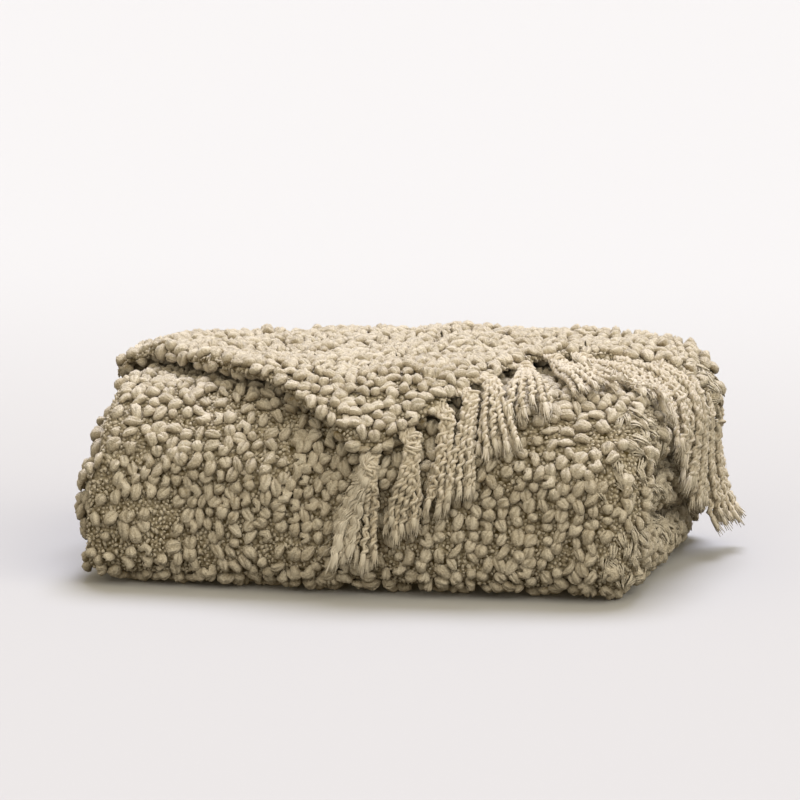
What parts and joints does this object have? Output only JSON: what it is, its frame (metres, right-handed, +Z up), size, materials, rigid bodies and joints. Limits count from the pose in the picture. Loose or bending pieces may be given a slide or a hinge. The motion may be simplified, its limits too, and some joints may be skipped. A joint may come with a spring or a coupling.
{
  "type": "folded boucle throw",
  "caption": "Looped boucle throw folded into a soft rectangular stack, its last ply turned over the top with one fringed corner hanging over the front.",
  "frame": {"origin": "on the underside, near its middle, where the folded throw rests", "axes": "+X to the throw's right, along its long side; -Y towards its front, where the corner hangs; +Z up"},
  "size_m": [0.4779, 0.3213, 0.1683],
  "materials": {
    "boucle": "matt looped boucle pile on a crumbed ground weave",
    "fringe": "matt twisted yarn with teased-out ends"
  },
  "bodies": {
    "root": {"throw": "boucle", "tassel_01": "fringe", "tassel_02": "fringe", "tassel_03": "fringe", "tassel_04": "fringe", "tassel_05": "fringe", "tassel_06": "fringe", "tassel_07": "fringe", "tassel_08": "fringe", "tassel_09": "fringe", "tassel_10": "fringe", "tassel_11": "fringe", "tassel_12": "fringe", "tassel_13": "fringe"}
  },
  "joints": []
}
